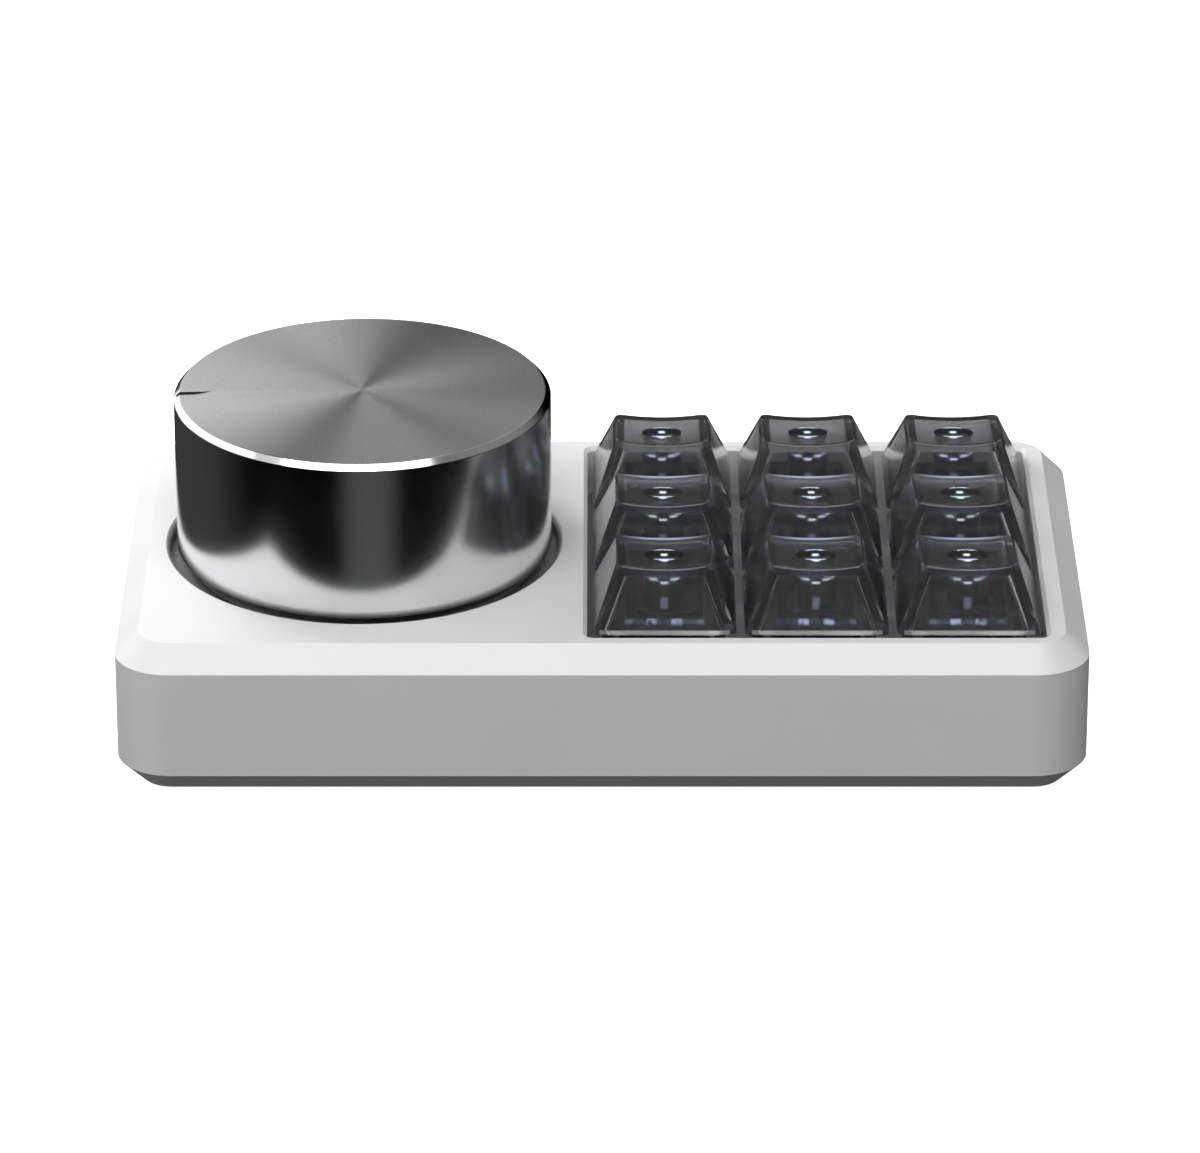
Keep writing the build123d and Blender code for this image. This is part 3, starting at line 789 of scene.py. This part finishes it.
def smoked_plastic():
    """Polished clear plastic with a grey tint in its depth, and painted highlights on its back edge and
    front lip.
    """
    material, tree, shader = new_material("smoked_plastic")
    mottled_surface(tree, shader, cap_dark, cap_light, cap_patches, cap_skin_roughness)
    grained_surface(tree, shader, cap_haze_scale, cap_haze_depth)
    rim_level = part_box("keycap_7")[0].z
    edge_level = rim_level + back_edge_height
    lit_rows_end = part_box("keycap_4")[1].y
    across, along, up = key_place(tree)
    split = add_node(tree, "ShaderNodeSeparateXYZ")
    tree.links.new(object_place(tree), split.inputs["Vector"])
    line = product(
        tree, soft_step(tree, along, back_edge - back_edge_inset[0], back_edge - back_edge_inset[1]),
        soft_step(tree, up, edge_level - back_edge_rise, edge_level),
        band(tree, across, 0.0, back_edge_half, back_edge_blur),
        soft_step(tree, split.outputs["Y"], lit_rows_end + lit_rows_blur, lit_rows_end),
    )
    lip = product(
        tree, soft_step(tree, along, lip_inset[0] - front_rim, lip_inset[1] - front_rim),
        band(tree, up, rim_level + lip_height, lip_half, lip_blur),
        band(tree, across, 0.0, front_rim - lip_end, lip_end_blur),
    )
    # Painted highlights: emission on the back edges of the front two rows and on each front lip.
    both = add_node(tree, "ShaderNodeMix", {"Factor": 1.0}, data_type="RGBA", blend_type="ADD")
    tree.links.new(mix_colours(tree, line, unlit, back_edge_painted_highlight), both.inputs[mix_first_colour])
    tree.links.new(mix_colours(tree, lip, unlit, lip_painted_highlight), both.inputs[mix_second_colour])
    tree.links.new(both.outputs[mix_colour_result], shader.inputs["Emission Color"])
    shader.inputs["Emission Strength"].default_value = cap_edge_painted_glow
    shader.inputs["Transmission Weight"].default_value = cap_clear
    shader.inputs["IOR"].default_value = cap_bending
    smoke = add_node(tree, "ShaderNodeVolumeAbsorption", {"Color": smoke_colour, "Density": smoke_density})
    tree.links.new(smoke.outputs["Volume"], tree.nodes["Material Output"].inputs["Volume"])
    return material


dress(smoked_plastic(), *[f"keycap_{number}" for number in key_numbers])

# Rotary encoder: a black moulded body on the board with a zinc lid and bush, a steel shaft with a flat,
# and a push switch below: a plunger on a thin snap dome. A plastic insert joins the shaft to the knob.
zinc_dark = (0.46, 0.46, 0.45, 1.0)
zinc_light = (0.58, 0.58, 0.57, 1.0)
cast_zinc = solid_finish(
    "cast_zinc", zinc_dark, zinc_light, patches=260.0, roughness=(0.34, 0.48),
    grain_scale=1800.0, grain_depth=0.01 * mm, metal=1.0,
)
dress(moulded_black, "encoder_body", "encoder_plunger", "knob_insert")
dress(cast_zinc, "encoder_bush")
dress(screw_steel, "encoder_shaft")
dress(spring_steel, "encoder_dome")

# Knob: a drum turned from solid metal. Its side is polished to a mirror, its top is brushed in rings,
# its rim is a diamond-cut chamfer, and one short notch that deepens to the rim marks its position.
# The notch's upright walls are coloured near black: painted shade, where the real notch only lies in shadow.
knob_steps = 256
knob_chamfer = 0.75 * mm
knob_fillet = 0.4 * mm
knob_fillet_steps = 12
knob_wall = 3.0 * mm
knob_roof = 4.0 * mm
knob_hub = 8.0 * mm
knob_edge = 0.06 * mm
knob_sharp_angle = 20.0
mark_length = 4.1 * mm
mark_width = 0.95 * mm
mark_depth = 0.5 * mm
mark_angle = 3.2
cutter_spare = 1.0 * mm
notch_shade_dark = (0.010, 0.010, 0.011, 1.0)
notch_shade_light = (0.018, 0.018, 0.019, 1.0)
buff_patches = 90.0
chrome_dark = (0.80, 0.80, 0.805, 1.0)
chrome_light = (0.85, 0.85, 0.855, 1.0)
chrome_roughness = (0.17, 0.21)
cut_dark = (0.95, 0.95, 0.952, 1.0)
cut_light = (0.98, 0.98, 0.982, 1.0)
cut_roughness = (0.10, 0.13)
brushed_dark = (0.31, 0.31, 0.312, 1.0)
brushed_light = (0.62, 0.62, 0.623, 1.0)
brushed_roughness = (0.36, 0.46)
brush_rings = 9000.0
brush_specks = 5200.0
brush_depth = 0.0012 * mm
brush_strength = 0.88
brush_turn = 12.5
quarter_turn = 0.25
top_facing = 0.9
wall_facing = 0.3


def polished_metal(name, dark, light, roughness):
    """Mirror-polished metal with the faint haze of buffing."""
    material, tree, shader = new_material(name)
    mottled_surface(tree, shader, dark, light, buff_patches, roughness)
    shader.inputs["Metallic"].default_value = 1.0
    return material


def brushed_top():
    """Metal brushed in fine rings about the knob's axis."""
    material, tree, shader = new_material("knob_brushed")
    reach, _ = around_knob(tree)
    rings = add_node(
        tree, "ShaderNodeTexNoise", {"Scale": brush_rings, "Detail": 2.0}, noise_dimensions="1D"
    )
    speck = add_node(tree, "ShaderNodeTexNoise", {"Scale": brush_specks, "Detail": 1.0})
    rough = add_node(
        tree, "ShaderNodeMapRange", {"To Min": brushed_roughness[0], "To Max": brushed_roughness[1]}
    )
    bump = add_node(tree, "ShaderNodeBump", {"Strength": 1.0, "Distance": brush_depth})
    around = add_node(tree, "ShaderNodeTangent", direction_type="RADIAL", axis="Z")
    tree.links.new(reach, rings.inputs["W"])
    tree.links.new(object_place(tree), speck.inputs["Vector"])
    relief = maths(tree, "ADD", rings.outputs["Fac"], speck.outputs["Fac"])
    colour = mix_colours(tree, speck.outputs["Fac"], brushed_dark, brushed_light)
    tree.links.new(relief, bump.inputs["Height"])
    tree.links.new(bump.outputs["Normal"], shader.inputs["Normal"])
    tree.links.new(rings.outputs["Fac"], rough.inputs["Value"])
    tree.links.new(rough.outputs["Result"], shader.inputs["Roughness"])
    tree.links.new(colour, shader.inputs["Base Color"])
    tree.links.new(around.outputs["Tangent"], shader.inputs["Tangent"])
    shader.inputs["Metallic"].default_value = 1.0
    shader.inputs["Anisotropic"].default_value = brush_strength
    shader.inputs["Anisotropic Rotation"].default_value = quarter_turn - brush_turn / 360.0
    return material


def knob_profile(radius, low, high, bore, bore_low, bore_high):
    """Outline of the drum from the middle of its top, round the outside, to the end of the hub's bore."""
    slant = knob_edge * math.sqrt(0.5)
    profile = [
        (0, high), (radius - knob_chamfer - knob_edge, high),
        (radius - knob_chamfer + slant, high - slant),
        (radius - slant, high - knob_chamfer + slant),
        (radius, high - knob_chamfer - knob_edge), (radius, low + knob_fillet),
    ]
    for step in range(1, knob_fillet_steps + 1):
        turn = math.radians(90) * step / knob_fillet_steps
        reach = radius - knob_fillet + knob_fillet * math.cos(turn)
        profile.append((reach, low + knob_fillet - knob_fillet * math.sin(turn)))
    inner = radius - knob_wall
    profile += [(inner, low), (inner, high - knob_roof), (knob_hub, high - knob_roof)]
    profile += [(knob_hub, bore_low), (bore, bore_low), (bore, bore_high), (0, bore_high)]
    return profile


def mark_cutter(centre, radius, high):
    """A wedge-shaped cutter for the notch: no depth at its inner end, full depth at the rim."""
    inner = radius - knob_chamfer - mark_length
    start = -inner + cutter_spare
    end = -radius - cutter_spare
    overrun = cutter_spare * mark_depth / (radius - inner)
    outline = [(start, overrun), (end, -mark_depth - overrun), (end, cutter_spare), (start, cutter_spare)]
    bm = bmesh.new()
    side = bm.faces.new([bm.verts.new((x, -mark_width / 2, z)) for x, z in outline])
    moved = bmesh.ops.extrude_face_region(bm, geom=[side])["geom"]
    bmesh.ops.translate(bm, verts=verts_in(moved), vec=(0, mark_width, 0))
    bmesh.ops.recalc_face_normals(bm, faces=bm.faces[:])
    turn = Matrix.Rotation(math.radians(mark_angle), 3, "Z")
    bmesh.ops.rotate(bm, verts=bm.verts[:], cent=(0, 0, 0), matrix=turn)
    bmesh.ops.translate(bm, verts=bm.verts[:], vec=(centre[0], centre[1], high))
    mesh = bpy.data.meshes.new("mark_cutter")
    bm.to_mesh(mesh)
    bm.free()
    return bpy.data.objects.new("mark_cutter", mesh)


def cut_mark(piece, cutter):
    """Cut one object out of another and keep the result as the piece's own mesh."""
    scene.collection.objects.link(cutter)
    cut = piece.modifiers.new("mark", "BOOLEAN")
    cut.operation = "DIFFERENCE"
    cut.solver = "EXACT"
    cut.object = cutter
    bpy.context.view_layer.update()
    shown = piece.evaluated_get(bpy.context.evaluated_depsgraph_get())
    mesh = bpy.data.meshes.new_from_object(shown)
    piece.modifiers.clear()
    piece.data = mesh
    bpy.data.objects.remove(cutter)


def turned_knob():
    """The whole knob, in place of the plain one."""
    low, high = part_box("knob")
    bore_low, bore_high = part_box("knob_insert")
    radius = (high.x - low.x) / 2
    centre = ((low.x + high.x) / 2, (low.y + high.y) / 2)
    bore = (bore_high.x - bore_low.x) / 2
    bm = bmesh.new()
    turn_profile(bm, knob_profile(radius, low.z, high.z, bore, bore_low.z, bore_high.z), knob_steps)
    bmesh.ops.translate(bm, verts=bm.verts[:], vec=(centre[0], centre[1], 0))
    polished = polished_metal("knob_polished", chrome_dark, chrome_light, chrome_roughness)
    # Painted shade: the notch's upright walls get a near-black finish, standing for the shadow in the real
    # notch.
    notch_shade = solid_finish(
        "notch_wall_painted_shade", notch_shade_dark, notch_shade_light, patches=900.0, roughness=(0.5, 0.6),
        grain_scale=3000.0, grain_depth=0.004 * mm,
    )
    diamond_cut = polished_metal("knob_diamond_cut", cut_dark, cut_light, cut_roughness)
    knob = finish_piece("turned_knob", bm, polished, "knob")
    cut_mark(knob, mark_cutter(centre, radius, high.z))
    mesh = knob.data
    for material in (brushed_top(), notch_shade, diamond_cut):
        mesh.materials.append(material)
    side_slot, top_slot, notch_shade_slot, chamfer_slot = range(4)
    for face in mesh.polygons:
        if face.center.z < high.z - knob_chamfer:
            face.material_index = side_slot
        elif face.normal.z > top_facing:
            face.material_index = top_slot
        elif abs(face.normal.z) < wall_facing:
            face.material_index = notch_shade_slot
        else:
            face.material_index = chamfer_slot
    mesh.shade_smooth()
    mesh.set_sharp_from_angle(angle=math.radians(knob_sharp_angle))
    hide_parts("knob")


turned_knob()

# Stage: a pale studio floor, one large soft light above, six small ones close to the keypad and a dim room.
# Some lights show only in mirrors and some everywhere but there, as flags on a studio table do it.
# Mirrors see the room as dark, with a few soft gleams: direction, outer angle, angle of full light, level.
floor_size = 4.0
floor_cells = 4
floor_dark = (0.80, 0.80, 0.80, 1.0)
floor_light = (0.82, 0.82, 0.82, 1.0)
floor_patches = 6.0
floor_roughness = (0.7, 0.8)
floor_glow = 1.0
floor_glow_dark = (0.98, 0.98, 0.98, 1.0)
floor_glow_light = (1.0, 1.0, 1.0, 1.0)
soft_lights = {
    "top_softbox": {"place": (-0.09, -0.56, 0.98), "size": (1.25, 0.95), "power": 12.9},
    "side_softbox": {"place": (-0.21, 0.21, 0.20), "size": (0.16, 0.16), "power": 0.88, "mirrored": False},
    "left_softbox": {"place": (-0.30, -0.06, 0.085), "size": (0.15, 0.15), "power": 0.14, "mirrored": False},
    "right_softbox": {"place": (0.28, 0.13, 0.19), "size": (0.15, 0.15), "power": 0.09, "mirrored": False},
    "knob_softbox": {"place": (-0.059, 0.076, 0.074), "size": (0.05, 0.05), "power": 0.0078},
    "rim_softbox": {"place": (-0.102, 0.012, 0.08), "size": (0.085, 0.045), "power": 0.014, "spread": False},
    "edge_softbox": {"place": (-0.088, 0.048, 0.052), "size": (0.05, 0.03), "power": 0.005, "spread": False},
}
room_white = (1.0, 1.0, 1.0, 1.0)
room_fill = 0.125
room_gleams = [
    ((0.083, -0.902, -0.42), 20.0, 0.0, 0.080),
    ((-0.66, 0.60, -0.42), 58.0, 0.0, 0.040),
    ((-0.34, 0.89, 0.30), 17.0, 0.0, 0.75),
    ((0.72, 0.20, 0.65), 45.0, 0.0, 0.19),
    ((0.30, 0.62, 0.72), 20.0, 0.0, 1.6),
    ((0.35, 0.83, 0.43), 17.0, 0.0, 0.75),
    ((-0.60, -0.15, 0.785), 10.0, 5.0, 0.6),
]
light_bounces = 24
brightest_bounce = 4.0


def studio_floor():
    """A large pale floor, faintly lit from inside so that it reads as white."""
    bm = bmesh.new()
    bmesh.ops.create_grid(bm, x_segments=floor_cells, y_segments=floor_cells, size=floor_size / 2)
    mesh = bpy.data.meshes.new("floor")
    bm.to_mesh(mesh)
    bm.free()
    material, tree, shader = new_material("floor")
    mask, _ = mottled_surface(tree, shader, floor_dark, floor_light, floor_patches, floor_roughness)
    glow = mix_colours(tree, mask, floor_glow_dark, floor_glow_light)
    tree.links.new(glow, shader.inputs["Emission Color"])
    shader.inputs["Emission Strength"].default_value = floor_glow
    mesh.materials.append(material)
    floor = bpy.data.objects.new("floor", mesh)
    scene.collection.objects.link(floor)
    floor.visible_glossy = False
    floor.visible_diffuse = False


def soft_light(name, place, size, power, mirrored=True, spread=True):
    """A rectangular softbox at a place, turned to the knob; it may light only mirrors, or all but them."""
    data = bpy.data.lights.new(name, "AREA")
    data.shape = "RECTANGLE"
    data.size, data.size_y = size
    data.energy = power
    lamp = bpy.data.objects.new(name, data)
    low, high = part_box("knob")
    lamp.location = place
    lamp.rotation_euler = (Vector(place) - (low + high) / 2).to_track_quat("Z", "Y").to_euler()
    lamp.visible_camera = False
    lamp.visible_glossy = mirrored
    lamp.visible_diffuse = spread
    scene.collection.objects.link(lamp)


def dim_room():
    """World light: a dim even fill, which mirrors see as black with gleams."""
    world = bpy.data.worlds.new("room")
    world.use_nodes = True
    tree = world.node_tree
    background = tree.nodes["Background"]
    path = add_node(tree, "ShaderNodeLightPath")
    sight = add_node(tree, "ShaderNodeTexCoord").outputs["Generated"]
    lobes = []
    for direction, width, core, brightness in room_gleams:
        towards = add_node(tree, "ShaderNodeVectorMath", operation="DOT_PRODUCT")
        towards.inputs[1].default_value = Vector(direction).normalized()
        edge = math.cos(math.radians(width))
        inner = math.cos(math.radians(core))
        lobe = add_node(
            tree, "ShaderNodeMapRange", {"From Min": edge, "From Max": inner, "To Max": brightness},
            interpolation_type="SMOOTHSTEP",
        )
        tree.links.new(sight, towards.inputs[0])
        tree.links.new(towards.outputs["Value"], lobe.inputs["Value"])
        lobes.append(lobe.outputs["Result"])
    gleam = lobes[0]
    for lobe in lobes[1:]:
        gleam = maths(tree, "ADD", gleam, lobe)
    level = add_node(tree, "ShaderNodeMix", {"A": room_fill}, data_type="FLOAT")
    tree.links.new(path.outputs["Is Glossy Ray"], level.inputs["Factor"])
    tree.links.new(gleam, level.inputs["B"])
    tree.links.new(level.outputs["Result"], background.inputs["Strength"])
    background.inputs["Color"].default_value = room_white
    scene.world = world


studio_floor()
for name, light in soft_lights.items():
    soft_light(name, **light)
dim_room()
scene.view_settings.view_transform = "Standard"
scene.cycles.use_denoising = True
scene.cycles.max_bounces = light_bounces
scene.cycles.transmission_bounces = light_bounces
scene.cycles.caustics_reflective = False
scene.cycles.sample_clamp_indirect = brightest_bounce

# Camera: a long lens in front of the keypad, looking down at it by 25 degrees.
# Its place and its focal length, in pixels of the picture, were fitted to the edges of case, knob and keys.
camera_place = (-0.000265, -0.81054, 0.39366)
camera_tilt = 25.0
photo_width = 1200.0
focal_pixels = 6942.35
sensor_width = 36.0
nearest_seen = 0.05
farthest_seen = 10.0


def photo_camera():
    """The view of the reference picture."""
    data = bpy.data.cameras.new("camera")
    data.sensor_width = sensor_width
    data.lens = sensor_width * focal_pixels / photo_width
    data.clip_start = nearest_seen
    data.clip_end = farthest_seen
    camera = bpy.data.objects.new("camera", data)
    camera.location = camera_place
    camera.rotation_euler = (math.radians(90 - camera_tilt), 0, 0)
    scene.collection.objects.link(camera)
    scene.camera = camera


photo_camera()
